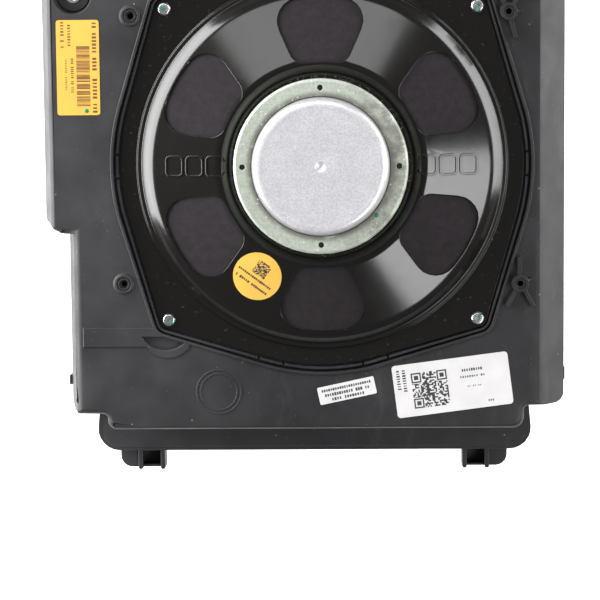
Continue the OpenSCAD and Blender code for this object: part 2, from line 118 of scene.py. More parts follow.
class DriverSettings(bpy.types.PropertyGroup):
    paint: colour("Paint", (0.0062, 0.0056, 0.0050), "Colour of the basket's paint")
    felt: colour("Felt", (0.0150, 0.0118, 0.0140), "Colour of the felt in the windows")
    cap: colour("Cap", (0.62, 0.62, 0.645), "Colour of the bare steel cap")
    zinc: colour("Zinc", (0.44, 0.48, 0.415), "Colour of the plated can")
    screw: colour("Screws", (0.70, 0.71, 0.72), "Colour of the plated screws")
    dye: colour("Dye", (0.01, 0.20, 0.11), "Colour of the marking dye")
    window_edge: length("Window edge", 0.35 * MM, "Rounding of the windows' edges")
    lint: IntProperty(name="Lint", description="Fibres on each felt", default=110, min=0)


class LabelSettings(bpy.types.PropertyGroup):
    yellow: colour("Yellow", (0.72, 0.42, 0.075), "Colour of the part labels")
    white: colour("White", (0.62, 0.61, 0.61), "Colour of the paper labels")
    brown_ink: colour("Brown ink", (0.15, 0.06, 0.025), "Print on the yellow labels")
    black_ink: colour("Black ink", (0.03, 0.03, 0.035), "Print on the white labels")


# ---- node trees ----


class Nodes:
    """Adds nodes to one shader or geometry tree and joins them."""

    def __init__(self, tree):
        self.tree = tree

    def join(self, value, socket):
        if isinstance(value, bpy.types.Node):
            value = value.outputs[0]
        if isinstance(value, bpy.types.NodeSocket):
            self.tree.links.new(value, socket)
        else:
            socket.default_value = value

    def add(self, kind, inputs=None, **settings):
        node = self.tree.nodes.new(kind)
        for key, value in settings.items():
            setattr(node, key, value)
        for key, value in (inputs or {}).items():
            self.join(value, node.inputs[key])
        return node

    def math(self, operation, a, b=0.0):
        return self.add("ShaderNodeMath", {0: a, 1: b}, operation=operation).outputs[0]

    def scaled(self, value, scale):
        value = value if isinstance(value, bpy.types.NodeSocket) else tuple(value)
        return self.add("ShaderNodeVectorMath", {0: value, "Scale": scale}, operation="SCALE").outputs[0]

    def times(self, a, b):
        return self.math("MULTIPLY", a, b)

    def most(self, a, b):
        return self.math("MAXIMUM", a, b)

    def spread(self, value, low, high, to_low=0.0, to_high=1.0):
        """value between low and high as a smooth share between to_low and to_high."""
        return self.add(
            "ShaderNodeMapRange",
            {"Value": value, "From Min": low, "From Max": high, "To Min": to_low, "To Max": to_high},
            interpolation_type="SMOOTHSTEP",
        ).outputs[0]


class Finish(Nodes):
    """One procedural material, with its patterns in the row frame's metres."""

    def __init__(self, name):
        self.material = bpy.data.materials.new(name)
        self.material.use_nodes = True
        super().__init__(self.material.node_tree)
        self.tree.nodes.clear()
        self.place = self.add("ShaderNodeTexCoord").outputs["Object"]
        self.x = self.add("ShaderNodeSeparateXYZ", {0: self.place}).outputs[0]
        flat = self.add("ShaderNodeVectorMath", {0: self.place, 1: (1, 1, 0)}, operation="MULTIPLY")
        self.radius = self.add("ShaderNodeVectorMath", {0: flat}, operation="LENGTH").outputs["Value"]

    def turned(self, angle, scale):
        return self.add(
            "ShaderNodeMapping",
            {"Vector": self.place, "Rotation": (0, 0, math.radians(angle)), "Scale": scale},
        ).outputs[0]

    def noise(self, pitch, detail=2.0, rough=0.55, at=None):
        """Soft noise whose blots are about pitch metres across."""
        scale = 1 / pitch if at is None else 1.0
        return self.add(
            "ShaderNodeTexNoise",
            {"Vector": at or self.place, "Scale": scale, "Detail": detail, "Roughness": rough},
        ).outputs[0]

    def uneven(self, pitch, low, high, detail=2.0, rough=0.55):
        """Soft changes between low and high, about pitch metres apart."""
        return self.spread(self.noise(pitch, detail, rough), 0.3, 0.7, low, high)

    def specks(self, pitch, size, share_kept):
        """Small round specks, one in some of the cells that are pitch metres across."""
        cells = self.add("ShaderNodeTexVoronoi", {"Vector": self.place, "Scale": 1 / pitch})
        chance = self.add("ShaderNodeSeparateColor", {0: cells.outputs["Color"]})
        kept = self.math("LESS_THAN", chance, share_kept)
        spot = self.spread(cells.outputs["Distance"], size / pitch, size / pitch * 0.4)
        return self.times(kept, spot)

    def scratches(self, angle, pitch, amount):
        """Thin long streaks along one direction."""
        streak = self.noise(1, 3, 0.7, self.turned(angle, (1 / pitch, 0.03 / pitch, 1 / pitch)))
        patch = self.spread(self.noise(0.045, 2), 0.48, 0.66)
        return self.times(self.spread(streak, 0.80 - 0.16 * amount, 0.90 - 0.16 * amount), patch)

    def mix(self, share_b, a, b):
        node = self.add("ShaderNodeMix", data_type="RGBA")
        for value, index in ((share_b, 0), (a, 6), (b, 7)):
            if isinstance(value, tuple):
                value = (*value, 1.0)
            self.join(value, node.inputs[index])
        return node.outputs[2]

    def bump(self, height, depth, strength=1.0, normal=None):
        inputs = {"Height": height, "Strength": strength, "Distance": depth}
        if normal is not None:
            inputs["Normal"] = normal
        return self.add("ShaderNodeBump", inputs).outputs[0]

    def surface(self, tint, roughness, normal=None, **values):
        inputs = {"Roughness": roughness}
        inputs["Base Color"] = (*tint, 1.0) if not isinstance(tint, bpy.types.NodeSocket) else tint
        if normal is not None:
            inputs["Normal"] = normal
        inputs.update({key.replace("_", " "): value for key, value in values.items()})
        shader = self.add("ShaderNodeBsdfPrincipled", inputs)
        self.add("ShaderNodeOutputMaterial", {"Surface": shader})
        return self.material


def moulded_plastic(name, tint, dust, scuffs, rough=0.5):
    """Grained injection-moulded plastic with scuffs and dust; the dust is mixed in more strongly towards -X
    as a painted highlight of the stronger light on the left.
    """
    f = Finish(name)
    cloud = f.uneven(0.055, 0.76, 1.22, 4, 0.6)
    wiped = f.spread(f.noise(1, 5, 0.7, f.turned(38, (60, 22, 60))), 0.50, 0.72, 0.0, 1.1 * dust)
    smears_and_left_highlight = f.spread(f.noise(0.014, 5, 0.65), 0.45, 0.75, 0.0, 0.35 * dust)
    # Painted highlight: dust that thickens towards -X, lightening the left side as if it were lit more
    # strongly
    left_dust_and_highlight = f.spread(f.noise(0.03, 4, 0.6), 0.2, 0.8, 0.9 * dust, 2.0 * dust)
    smears_and_left_highlight = f.most(smears_and_left_highlight, f.times(f.spread(f.x, 0.01, -0.13), left_dust_and_highlight))
    body = f.mix(f.most(smears_and_left_highlight, wiped), tuple(tint), tuple(c * 1.7 + 0.024 for c in tint))
    body = f.scaled(body, cloud)
    marks = f.most(f.scratches(24, 0.0009, scuffs), f.scratches(-52, 0.0007, scuffs))
    marks = f.times(marks, 0.5 * scuffs)
    body = f.mix(marks, body, (0.20, 0.20, 0.205))
    grit = f.most(f.specks(0.006, 0.0005, 0.35 * dust), f.specks(0.0021, 0.00022, 0.25 * dust))
    body = f.mix(f.times(grit, 0.6), body, (0.42, 0.41, 0.38))
    bumps = f.bump(f.noise(0.35 * MM, 3, 0.6), 0.06 * MM, 0.35)
    bumps = f.bump(grit, 0.08 * MM, 0.5, bumps)
    rough_all = f.math("ADD", f.uneven(0.02, rough - 0.05, rough + 0.07, 3), f.times(grit, 0.3))
    return f.surface(body, rough_all, bumps, Specular_IOR_Level=0.36)


def basket_paint(tint):
    """Gloss black paint on pressed steel, dirty near the motor and scuffed on the flange."""
    f = Finish("basket_paint")
    foot = f.spread(f.radius, 0.0545, 0.0502)
    on_flange = f.spread(f.radius, 0.106, 0.110)
    crumbs = f.times(f.specks(0.0009, 0.00034, 0.35), foot)
    haze = f.times(f.spread(f.noise(0.012, 4, 0.6), 0.45, 0.8), 0.4)
    chips = f.specks(0.0035, 0.00020, 0.05)
    body = f.mix(f.times(crumbs, 0.7), tuple(tint), (0.26, 0.27, 0.21))
    scuff = f.times(on_flange, f.spread(f.noise(0.0035, 4, 0.75), 0.60, 0.74))
    body = f.mix(f.times(scuff, 0.12), body, (0.22, 0.20, 0.18))
    body = f.mix(f.times(chips, 0.5), body, (0.30, 0.32, 0.27))
    peel = f.bump(f.noise(0.0022, 2, 0.5), 0.008 * MM, 0.4)
    peel = f.bump(f.most(crumbs, chips), 0.1 * MM, 0.6, peel)
    rough = f.math("ADD", 0.15, f.times(haze, 0.10))
    rough = f.math("ADD", rough, f.times(f.most(crumbs, scuff), 0.3))
    return f.surface(body, rough, peel, Specular_IOR_Level=0.5)


def can_zinc(tint):
    """Pale passivated zinc: grainy, with painted shade round the cap's foot and a painted shadow of the cap,
    in blots, towards +X.
    """
    f = Finish("can_zinc")
    grain = f.noise(0.0014, 4, 0.8)
    body = f.scaled(tint, f.spread(grain, 0.3, 0.7, 0.80, 1.16))
    # Painted shadow: dark brown blots towards +X stand in for the cap's shadow on the ring
    side = f.spread(f.x, -0.005, 0.046)
    blots = f.spread(f.noise(0.010, 5, 0.7), 0.36, 0.62)
    body = f.mix(f.times(f.times(side, blots), 0.75), body, (0.17, 0.155, 0.135))
    # Painted shade: a darker ring round the cap's foot, broken up by noise
    foot_shade_blots = f.spread(f.noise(0.007, 4, 0.6), 0.25, 0.5)
    foot = f.times(f.spread(f.radius, 0.0438, 0.0400), foot_shade_blots)
    body = f.mix(f.times(foot, 0.85), body, (0.15, 0.145, 0.125))
    bright = f.specks(0.0026, 0.00055, 0.25)
    body = f.mix(f.times(bright, 0.7), body, (0.92, 0.95, 0.88))
    return f.surface(body, f.uneven(0.004, 0.42, 0.56, 3), f.bump(grain, 0.05 * MM, 0.5), Metallic=0.35)


def cap_steel(tint):
    """Pale pitted steel with rubbed patches, painted shade on its rounded shoulder and on the plate beyond
    its edge.
    """
    f = Finish("cap_steel")
    cloud = f.uneven(0.011, 0.95, 1.03, 3, 0.6)
    body = f.scaled(tint, cloud)
    body = f.scaled(body, f.spread(f.noise(0.0012, 3, 0.85), 0.32, 0.68, 0.84, 1.14))
    rubbed = f.spread(f.noise(0.014, 3), 0.40, 0.60)
    pale = f.times(f.specks(0.0024, 0.00055, 0.25), rubbed)
    dark = f.times(f.specks(0.0019, 0.00042, 0.22), rubbed)
    body = f.mix(f.times(pale, 0.8), body, (0.95, 0.95, 0.97))
    body = f.mix(f.times(dark, 0.5), body, (0.34, 0.31, 0.34))
    # Painted shade on the outer part of the rounded shoulder, from 36.6 to 38.2 mm out
    body = f.mix(f.spread(f.radius, 0.0366, 0.0382, 0.0, 0.8), body, (0.24, 0.235, 0.23))
    # Painted shade: the plate beyond 40 mm, seen in the gap under the can, is made nearly black
    body = f.mix(f.spread(f.radius, 0.0396, 0.0400), body, (0.03, 0.027, 0.024))
    pits = f.bump(f.noise(0.0005, 3, 0.6), 0.02 * MM, 0.35)
    return f.surface(body, f.uneven(0.009, 0.30, 0.36, 3), pits, Metallic=0.35)


def bare_metal(name, tint, rough, grain, specks):
    """Rolled or cast metal with fine pits, bright specks and slow changes of tone."""
    f = Finish(name)
    cloud = f.uneven(0.009, 0.90, 1.06, 4, 0.65)
    body = f.scaled(tint, cloud)
    bright = f.specks(0.0017, 0.00022, 0.32 * specks)
    dark = f.specks(0.0024, 0.00020, 0.22 * specks)
    body = f.mix(f.times(bright, 0.7), body, (0.95, 0.96, 0.95))
    body = f.mix(f.times(dark, 0.45), body, (0.22, 0.21, 0.19))
    pits = f.bump(f.noise(grain, 3, 0.6), 0.05 * MM, 0.35)
    roughness = f.uneven(0.004, rough - 0.06, rough + 0.08, 3)
    return f.surface(body, roughness, pits, Metallic=1.0)


def plain_finish(name, tint, rough, grain, depth, metallic=0.0, vary=0.12):
    """A single tone with grain, for inks, dye, lint and the pieces that are out of sight."""
    f = Finish(name)
    tone = f.uneven(0.006, 1 - vary, 1 + vary, 4, 0.6)
    body = f.scaled(tint, tone)
    bumps = f.bump(f.noise(grain * MM, 3, 0.6), depth * MM, 0.5)
    roughness = f.uneven(0.01, rough - 0.05, rough + 0.05, 3)
    return f.surface(body, roughness, bumps, Metallic=metallic)


def felt_cloth(tint):
    """Short matted felt."""
    f = Finish("felt_cloth")
    mat = f.noise(0.00045, 4, 0.75)
    clumps = f.uneven(0.0045, 0.80, 1.22, 4, 0.7)
    body = f.scaled(tint, clumps)
    body = f.mix(f.spread(mat, 0.55, 0.75, 0, 0.35), body, tuple(c * 2.3 for c in tint))
    bumps = f.bump(mat, 0.25 * MM, 0.6)
    return f.surface(body, 0.95, bumps, Sheen_Weight=0.12, Sheen_Roughness=0.5, Specular_IOR_Level=0.2)


def label_paper(name, tint, rough):
    """Printed label stock, slightly uneven and soiled."""
    f = Finish(name)
    tone = f.spread(f.noise(0.012, 4, 0.6), 0.3, 0.75, 1.02, 0.93)
    body = f.scaled(tint, tone)
    body = f.mix(f.times(f.specks(0.004, 0.0002, 0.12), 0.35), body, (0.35, 0.25, 0.15))
    return f.surface(body, rough, f.bump(f.noise(0.0006, 3), 0.02 * MM, 0.3), Specular_IOR_Level=0.4)


def woven_cloth(name, tint):
    """Coarse resin-dipped weave for the spider."""
    f = Finish(name)
    warp, weft = [
        f.add(
            "ShaderNodeTexWave", {"Vector": f.place, "Scale": 900.0, "Distortion": 0.4}, bands_direction=way
        ).outputs["Fac"]
        for way in "XY"
    ]
    weave = f.times(warp, weft)
    body = f.mix(weave, tuple(c * 0.55 for c in tint), tuple(tint))
    return f.surface(body, 0.75, f.bump(weave, 0.15 * MM, 0.8))


MATERIALS = {}
# Name, colour, roughness, grain and its depth in millimetres, metallic, change of tone
PLAIN = {
    "foam": ("seal_foam", (0.018, 0.018, 0.019), 0.92, 0.6, 0.3),
    "rubber": ("rubber", (0.014, 0.014, 0.015), 0.6, 0.5, 0.03),
    "ferrite": ("ferrite", (0.03, 0.03, 0.032), 0.7, 0.4, 0.1),
    "fibre": ("ring_board", (0.05, 0.045, 0.04), 0.8, 0.5, 0.08),
    "paper": ("cone_paper", (0.02, 0.02, 0.021), 0.85, 0.7, 0.15, 0.0, 0.3),
    "film": ("former_film", (0.45, 0.25, 0.06), 0.3, 1, 0.01),
    "copper": ("enamelled_copper", (0.72, 0.28, 0.10), 0.25, 1, 0.01, 1.0),
    "tinsel": ("tinsel_copper", (0.75, 0.45, 0.25), 0.4, 0.3, 0.03, 1.0),
    "brass": ("tinned_brass", (0.72, 0.55, 0.28), 0.3, 0.5, 0.02, 1.0),
    "red_wire": ("red_insulation", (0.35, 0.02, 0.015), 0.4, 1, 0.01),
    "black_wire": ("black_insulation", (0.015, 0.015, 0.015), 0.4, 1, 0.01),
}


def material(name):
    """The finish of that name, made on first use from the scene's settings."""
    if name not in MATERIALS:
        scene = bpy.context.scene
        h, d, p = scene.woofer_housing, scene.woofer_driver, scene.woofer_labels
        recipes = {
            "plastic": lambda: moulded_plastic("moulded_plastic", h.plastic, h.dust, h.scuffs),
            "black_plastic": lambda: moulded_plastic("black_plastic", (0.022, 0.022, 0.024), 0.1, 0.2, 0.42),
            "paint": lambda: basket_paint(d.paint),
            "felt": lambda: felt_cloth(d.felt),
            "lint": lambda: plain_finish("lint", tuple(c * 3.2 for c in d.felt), 0.9, 0.2, 0.02),
            "cap": lambda: cap_steel(d.cap),
            "zinc": lambda: can_zinc(d.zinc),
            "screw": lambda: bare_metal("screw_plating", d.screw, 0.28, 0.5 * MM, 0.1),
            "steel": lambda: bare_metal("turned_steel", (0.56, 0.56, 0.57), 0.34, 0.3 * MM, 0.2),
            "dye": lambda: plain_finish("marking_dye", d.dye, 0.35, 1, 0.02),
            "yellow": lambda: label_paper("yellow_label", p.yellow, 0.42),
            "white": lambda: label_paper("white_label", p.white, 0.55),
            "brown_ink": lambda: plain_finish("brown_ink", p.brown_ink, 0.5, 0.3, 0.01),
            "black_ink": lambda: plain_finish("black_ink", p.black_ink, 0.5, 0.3, 0.01),
            "spider": lambda: woven_cloth("spider_cloth", (0.42, 0.25, 0.07)),
        }
        plain = PLAIN.get(name)
        MATERIALS[name] = plain_finish(*plain) if plain else recipes[name]()
    return MATERIALS[name]


# ---- pieces ----


def linked(name, mesh):
    obj = bpy.data.objects.new(name, mesh)
    bpy.context.scene.collection.objects.link(obj)
    return obj


def piece(name, mesh, finish, slot, body="enclosure", stands_for=()):
    """A finished object, with its place in its mesh, that rides on a body."""
    obj = linked(name, mesh)
    mesh.name = name
    mesh.materials.clear()
    mesh.materials.append(material(finish))
    if body:
        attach(obj, body)
    if stands_for:
        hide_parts(*stands_for)
    return obj


def finish_nodes(**nodes):
    """Gives carried-over CAD nodes their finish, from finish="node node"."""
    for finish, names in nodes.items():
        for name in names.split():
            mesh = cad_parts[name].data
            mesh.materials.clear()
            mesh.materials.append(material(finish))


def as_mesh(solid, name):
    """The mesh of a bmesh, which is then freed."""
    mesh = bpy.data.meshes.new(name)
    solid.to_mesh(mesh)
    solid.free()
    return mesh


def smoothed(mesh, angle):
    """The mesh with smooth faces and the edges over an angle in degrees kept sharp."""
    mesh.shade_smooth()
    mesh.set_sharp_from_angle(angle=math.radians(angle))
    return mesh


def merged_copy(node):
    """A copy of a CAD node's surface with its loose facets joined."""
    mesh = bmesh.new()
    mesh.from_mesh(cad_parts[node].data)
    bmesh.ops.remove_doubles(mesh, verts=mesh.verts, dist=0.01 * MM)
    bmesh.ops.dissolve_limit(
        mesh, angle_limit=math.radians(0.6), verts=mesh.verts, edges=mesh.edges
    )
    return mesh


def settled(obj):
    """The evaluated mesh of an object, with its modifiers then removed and the object deleted."""
    bpy.context.view_layer.update()
    graph = bpy.context.evaluated_depsgraph_get()
    mesh = bpy.data.meshes.new_from_object(obj.evaluated_get(graph), depsgraph=graph)
    obj.modifiers.clear()
    bpy.data.objects.remove(obj)
    return mesh


def refill_level(mesh, height):
    """Fills the flat upward faces at a height again, as wide roundings can leave them folded."""
    solid = bmesh.new()
    solid.from_mesh(mesh)
    flat = {f for f in solid.faces if level(f, height, 0.02 * MM)}
    rim = [e for e in solid.edges if sum(f in flat for f in e.link_faces) == 1]
    bmesh.ops.delete(solid, geom=list(flat), context="FACES")
    made = bmesh.ops.triangle_fill(solid, edges=rim, use_beauty=True, normal=(0, 0, 1))
    for face in made["geom"]:
        if isinstance(face, bmesh.types.BMFace):
            face.normal_update()
            if face.normal.z < 0:
                face.normal_flip()
    solid.to_mesh(mesh)
    solid.free()


def rounded_copy(node, rounding, segments=3, refill=None):
    """A copy of a CAD node whose edges are rounded by rounding(edge) metres."""
    solid = merged_copy(node)
    weight = solid.edges.layers.float.new("bevel_weight_edge")
    widths = {}
    for edge in solid.edges:
        if len(edge.link_faces) == 2 and edge.calc_face_angle() > math.radians(25):
            widths[edge] = rounding(edge)
    widest = max(widths.values())
    for edge, width in widths.items():
        edge[weight] = width / widest
    obj = linked(node + "_work", as_mesh(solid, node))
    bevel = obj.modifiers.new("Round", "BEVEL")
    bevel.limit_method, bevel.width, bevel.segments = "WEIGHT", widest, segments
    bevel.use_clamp_overlap = False
    made = settled(obj)
    if refill is not None:
        refill_level(made, refill)
    obj = linked(node + "_work", smoothed(made, 35))
    obj.modifiers.new("Weigh", "WEIGHTED_NORMAL").keep_sharp = True
    return settled(obj)


def edge_heights(edge):
    return sorted(v.co.z for v in edge.verts)


def spans(face, low, high):
    heights = edge_heights(face)
    return heights[0] < low and heights[-1] > high


def middle(edge):
    return (edge.verts[0].co + edge.verts[1].co) / 2


def level(part, z, slack=0.03 * MM):
    return all(abs(v.co.z - z) < slack for v in part.verts)


def lathe(section, segments):
    """A surface turned round the driver's axis from an open section of (radius, height) points."""
    mesh = bmesh.new()
    rings = []
    for r, z in section:
        if r < 1e-6:
            rings.append([mesh.verts.new((0, 0, z))] * segments)
        else:
            turns = [2 * math.pi * k / segments for k in range(segments)]
            rings.append([mesh.verts.new((r * math.cos(a), r * math.sin(a), z)) for a in turns])
    for low, high in zip(rings, rings[1:]):
        for k in range(segments):
            j = (k + 1) % segments
            corners = []
            for vert in (low[k], low[j], high[j], high[k]):
                if vert not in corners:
                    corners.append(vert)
            if len(corners) > 2:
                mesh.faces.new(corners)
    bmesh.ops.recalc_face_normals(mesh, faces=mesh.faces)
    return as_mesh(mesh, "turned")


def rounded_points(points, steps):
    """The points of an open path of (x, y, corner radius), with its corners rounded."""
    out = []
    for i, (x, y, r) in enumerate(points):
        p = Vector((x, y))
        if r <= 0 or i in (0, len(points) - 1):
            out.append(p)
            continue
        u = (Vector(points[i - 1][:2]) - p).normalized()
        v = (Vector(points[i + 1][:2]) - p).normalized()
        half = math.acos(max(-1.0, min(1.0, u.dot(v)))) / 2
        centre = p + (u + v).normalized() * r / math.sin(half)
        first, last = p + u * r / math.tan(half) - centre, p + v * r / math.tan(half) - centre
        start = math.atan2(first.y, first.x)
        turn = math.atan2(last.y, last.x) - start
        turn -= 2 * math.pi * round(turn / (2 * math.pi))
        out += [
            centre + Vector((math.cos(start + turn * k / steps), math.sin(start + turn * k / steps))) * r
            for k in range(steps + 1)
        ]
    return out


# ---- geometry node trees ----


def on_plan(pair, z):
    """A point or size from a pair in millimetres and a height in metres."""
    return (pair[0] * MM, pair[1] * MM, z)


def title(key):
    return key.replace("_", " ").capitalize()


class Grower(Nodes):
    """A geometry tree with named inputs that ends in Realize Instances and Set Material."""

    KINDS = {float: "Float", int: "Int", tuple: "Vector", bpy.types.Object: "Object"}

    def __init__(self, name, **inputs):
        tree = bpy.data.node_groups.new(name, "GeometryNodeTree")
        super().__init__(tree)
        tree.interface.new_socket("Geometry", in_out="INPUT", socket_type="NodeSocketGeometry")
        tree.interface.new_socket("Geometry", in_out="OUTPUT", socket_type="NodeSocketGeometry")
        for key, kind in {**inputs, "material": "Material"}.items():
            kind = self.KINDS.get(kind, kind)
            tree.interface.new_socket(title(key), in_out="INPUT", socket_type=f"NodeSocket{kind}")
        self.entry = self.add("NodeGroupInput")

    def given(self, key):
        return self.entry.outputs[title(key)]

    def random(self, kind, low, high, seed_shift=0):
        base = {"FLOAT_VECTOR": 0, "FLOAT": 2}[kind]
        node = self.add(
            "FunctionNodeRandomValue",
            {base: low, base + 1: high, 8: self.math("ADD", self.given("seed"), seed_shift)},
            data_type=kind,
        )
        return node.outputs[base // 2]

    def end(self, geometry):
        real = self.add("GeometryNodeRealizeInstances", {0: geometry})
        done = self.add("GeometryNodeSetMaterial", {0: real, "Material": self.given("material")})
        self.add("NodeGroupOutput", {0: done})
        return self.tree


def grow(tree, name, finish, slot, points=(), source=None, stands_for=(), **values):
    """The plain mesh that a tree grows from loose points or a source mesh, as a finished piece."""
    if source is None:
        source = bpy.data.meshes.new(name)
        source.from_pydata([tuple(p) for p in points] or [(0, 0, 0)], [], [])
    obj = linked(name + "_work", source)
    modifier = obj.modifiers.new("Grow", "NODES")
    modifier.node_group = tree
    values["material"] = material(finish)
    wanted = {title(key): value for key, value in values.items()}
    for socket in tree.interface.items_tree:
        if socket.in_out == "INPUT" and socket.name in wanted:
            modifier[socket.identifier] = wanted.pop(socket.name)
    if wanted:
        raise ValueError(f"{tree.name} has no input {sorted(wanted)}")
    mesh = settled(obj)
    if not mesh.polygons:
        raise ValueError(f"{name} came out empty")
    return piece(name, mesh, finish, slot, stands_for=stands_for)


def fastener_tree():
    """Sets a copy of one object on every point, each turned by a random angle."""
    g = Grower("Fasteners", fastener=bpy.types.Object, turn=float, seed=int)
    part = g.add("GeometryNodeObjectInfo", {"Object": g.given("fastener")})
    angle = g.add("ShaderNodeCombineXYZ", {"Z": g.random("FLOAT", 0.0, g.given("turn"))})
    placed = g.add(
        "GeometryNodeInstanceOnPoints",
        {"Points": g.entry.outputs[0], "Instance": part.outputs["Geometry"], "Rotation": angle},
    )
    return g.end(placed)


def print_tree():
    """Printed bars in rows and columns, each of a random size, with some left out.

    Inside the radius foot they rise towards the driver's axis by fall for each metre.
    """
    g = Grower(
        "Printed marks", columns=int, rows=int, area=tuple, smallest=tuple, largest=tuple, fill=float,
        place=tuple, turn=tuple, fall=float, foot=float, seed=int,
    )
    area = g.add("ShaderNodeSeparateXYZ", {0: g.given("area")})
    grid = g.add(
        "GeometryNodeMeshGrid",
        {
            "Size X": area.outputs[0],
            "Size Y": area.outputs[1],
            "Vertices X": g.given("columns"),
            "Vertices Y": g.given("rows"),
        },
    )
    size = g.random("FLOAT_VECTOR", g.given("smallest"), g.given("largest"))
    kept = g.math("LESS_THAN", g.random("FLOAT", 0.0, 1.0, 7), g.given("fill"))
    bar = g.add("GeometryNodeMeshGrid", {"Size X": 1.0, "Size Y": 1.0, "Vertices X": 2, "Vertices Y": 2})
    bars = g.add(
        "GeometryNodeInstanceOnPoints",
        {"Points": grid, "Selection": kept, "Instance": bar, "Scale": size},
    )
    moved = g.add(
        "GeometryNodeTransform",
        {"Geometry": bars, "Translation": g.given("place"), "Rotation": g.given("turn")},
    )
    real = g.add("GeometryNodeRealizeInstances", {0: moved})
    axes = g.add("ShaderNodeSeparateXYZ", {0: g.add("GeometryNodeInputPosition")})
    squares = [g.math("POWER", axes.outputs[i], 2.0) for i in (0, 1)]
    reach = g.math("SQRT", g.math("ADD", *squares))
    drop = g.math("MULTIPLY", g.math("SUBTRACT", g.given("foot"), reach), g.given("fall"))
    draped = g.add(
        "GeometryNodeSetPosition",
        {"Geometry": real, "Offset": g.add("ShaderNodeCombineXYZ", {"Z": drop})},
    )
    return g.end(draped)


def lint_tree():
    """Curled loose fibres lying on a surface."""
    g = Grower("Lint", count=float, fibre=float, thickness=float, lift=float, seed=int)
    spots = g.add(
        "GeometryNodeDistributePointsOnFaces",
        {"Mesh": g.entry.outputs[0], "Density": g.given("count"), "Seed": g.given("seed")},
    )
    rise = g.scaled(spots.outputs["Normal"], g.given("lift"))
    lifted = g.add("GeometryNodeSetPosition", {"Geometry": spots.outputs["Points"], "Offset": rise})
    bend = {"Resolution": 6, "Radius": 0.5, "Start Angle": 0.3, "Sweep Angle": 1.9}
    arc = g.add("GeometryNodeCurveArc", bend)
    curl = g.random("FLOAT_VECTOR", (0.4, 0.4, 0.3), (1.4, 1.4, 0.6), 5)
    placed = g.add(
        "GeometryNodeInstanceOnPoints",
        {
            "Points": lifted,
            "Instance": arc,
            "Rotation": g.random("FLOAT_VECTOR", (-0.25, -0.25, 0.0), (0.25, 0.25, 6.28), 3),
            "Scale": g.scaled(curl, g.given("fibre")),
        },
    )
    real = g.add("GeometryNodeRealizeInstances", {0: placed})
    profile = g.add("GeometryNodeCurvePrimitiveCircle", {"Resolution": 3, "Radius": g.given("thickness")})
    strands = g.add("GeometryNodeCurveToMesh", {"Curve": real, "Profile Curve": profile, "Fill Caps": True})
    return g.end(strands)


# ---- operators ----


class Maker:
    """What all the operators share."""

    bl_options = {"REGISTER", "UNDO"}

    def execute(self, context):
        self.make(context.scene)
        return {"FINISHED"}


class WOOFER_OT_stage(Maker, bpy.types.Operator):
    """Floor, soft lights and camera"""

    bl_idname = "woofer.stage"
    bl_label = "Stage"

    def make(self, scene):
        s = scene.woofer_stage
        floor = linked("floor", lathe([(0, 0), (4.0, 0)], 64))
        paper = Finish("floor_paper")
        tone = paper.spread(paper.noise(0.4, 3), 0.3, 0.7, 0.985, 1.0)
        white = paper.scaled(s.floor, tone)
        floor.data.materials.append(paper.surface(white, 0.9, Emission_Color=white, Emission_Strength=s.glow))
        world = bpy.data.worlds.new("studio")
        world.use_nodes = True
        even = world.node_tree.nodes["Background"].inputs
        even["Color"].default_value = (1, 1, 1, 1)
        even["Strength"].default_value = s.sky
        scene.world = world
        for name, place, size, watts in (
            ("left_box", (-1.00, 0.28, 0.31), (1.5, 0.72), 44),
            ("right_box", (0.75, 0.27, 0.20), (0.95, 0.30), 7.5),
            ("upper_right_box", (0.80, -0.46, 1.10), (1.15, 0.36), 12),
            ("back_box", (-0.08, 0.88, 1.10), (1.25, 0.36), 6),
        ):
            light = bpy.data.lights.new(name, "AREA")
            light.shape, light.size, light.size_y, light.energy = "RECTANGLE", size[0], size[1], watts
            lamp = linked(name, light)
            lamp.location = place
            lamp.rotation_mode = "QUATERNION"
            lamp.rotation_quaternion = (Vector((0, 0, 0.03)) - Vector(place)).to_track_quat("-Z", "Y")
        data = bpy.data.cameras.new("camera")
        data.lens, data.sensor_width, data.clip_start, data.clip_end = s.lens, 36, 0.05, 20
        camera = linked("camera", data)
        turn = Vector(s.camera_turn)
        camera.rotation_mode = "QUATERNION"
        camera.rotation_quaternion = Matrix.Rotation(turn.length, 3, turn.normalized()).to_quaternion()
        camera.location = s.camera_place
        scene.camera = camera
        scene.view_settings.view_transform = "Standard"
        scene.view_settings.look = "None"


class WOOFER_OT_upper_shell(Maker, bpy.types.Operator):
    """Upper shell with its lip, bosses and pockets"""

    bl_idname = "woofer.upper_shell"
    bl_label = "Upper shell"

    SEAT_Z = FACE_Z - 5 * MM
    STRIP_Z = FACE_Z + 1 * MM
    RING_Z = FACE_Z + 1.2 * MM
    SEAT_REACH = 118 * MM

    def make(self, scene):
        s = scene.woofer_housing

        def rounding(edge):
            mid = middle(edge)
            walls = [f for f in edge.link_faces if spans(f, JOINT_Z + MM, FACE_Z - MM)]
            if walls and level(edge, FACE_Z):
                if walls[0].normal.z > 0.3:
                    return 0.35 * s.rim
                # The bolt wells stand close to the wide part's left side and to the far end
                by_well = mid.x < -150 * MM and mid.y > -45 * MM or mid.y > 100 * MM
                return 0.66 * s.rim if by_well else s.rim
            if len(walls) == 2:
                return 0.5 * s.rim if edge.is_convex else 0
            if edge_heights(edge)[0] < self.SEAT_Z - 0.2 * MM:
                return 0
            if not edge.is_convex:
                return 0.4 * s.edge if level(edge, FACE_Z) and mid.xy.length > self.SEAT_REACH else 0
            if level(edge, FACE_Z):
                of_well = mid.y > 86 * MM and abs(mid.x) > 90 * MM
                return 0.6 * s.edge if of_well else 1.6 * s.edge
            if level(edge, self.STRIP_Z):
                return 1.4 * s.edge
            return s.edge if level(edge, self.RING_Z) else 0.45 * s.edge

        mesh = rounded_copy("housing_upper", rounding, refill=FACE_Z)
        piece("upper_shell", mesh, "plastic", "housing_plastic", stands_for=["housing_upper"])


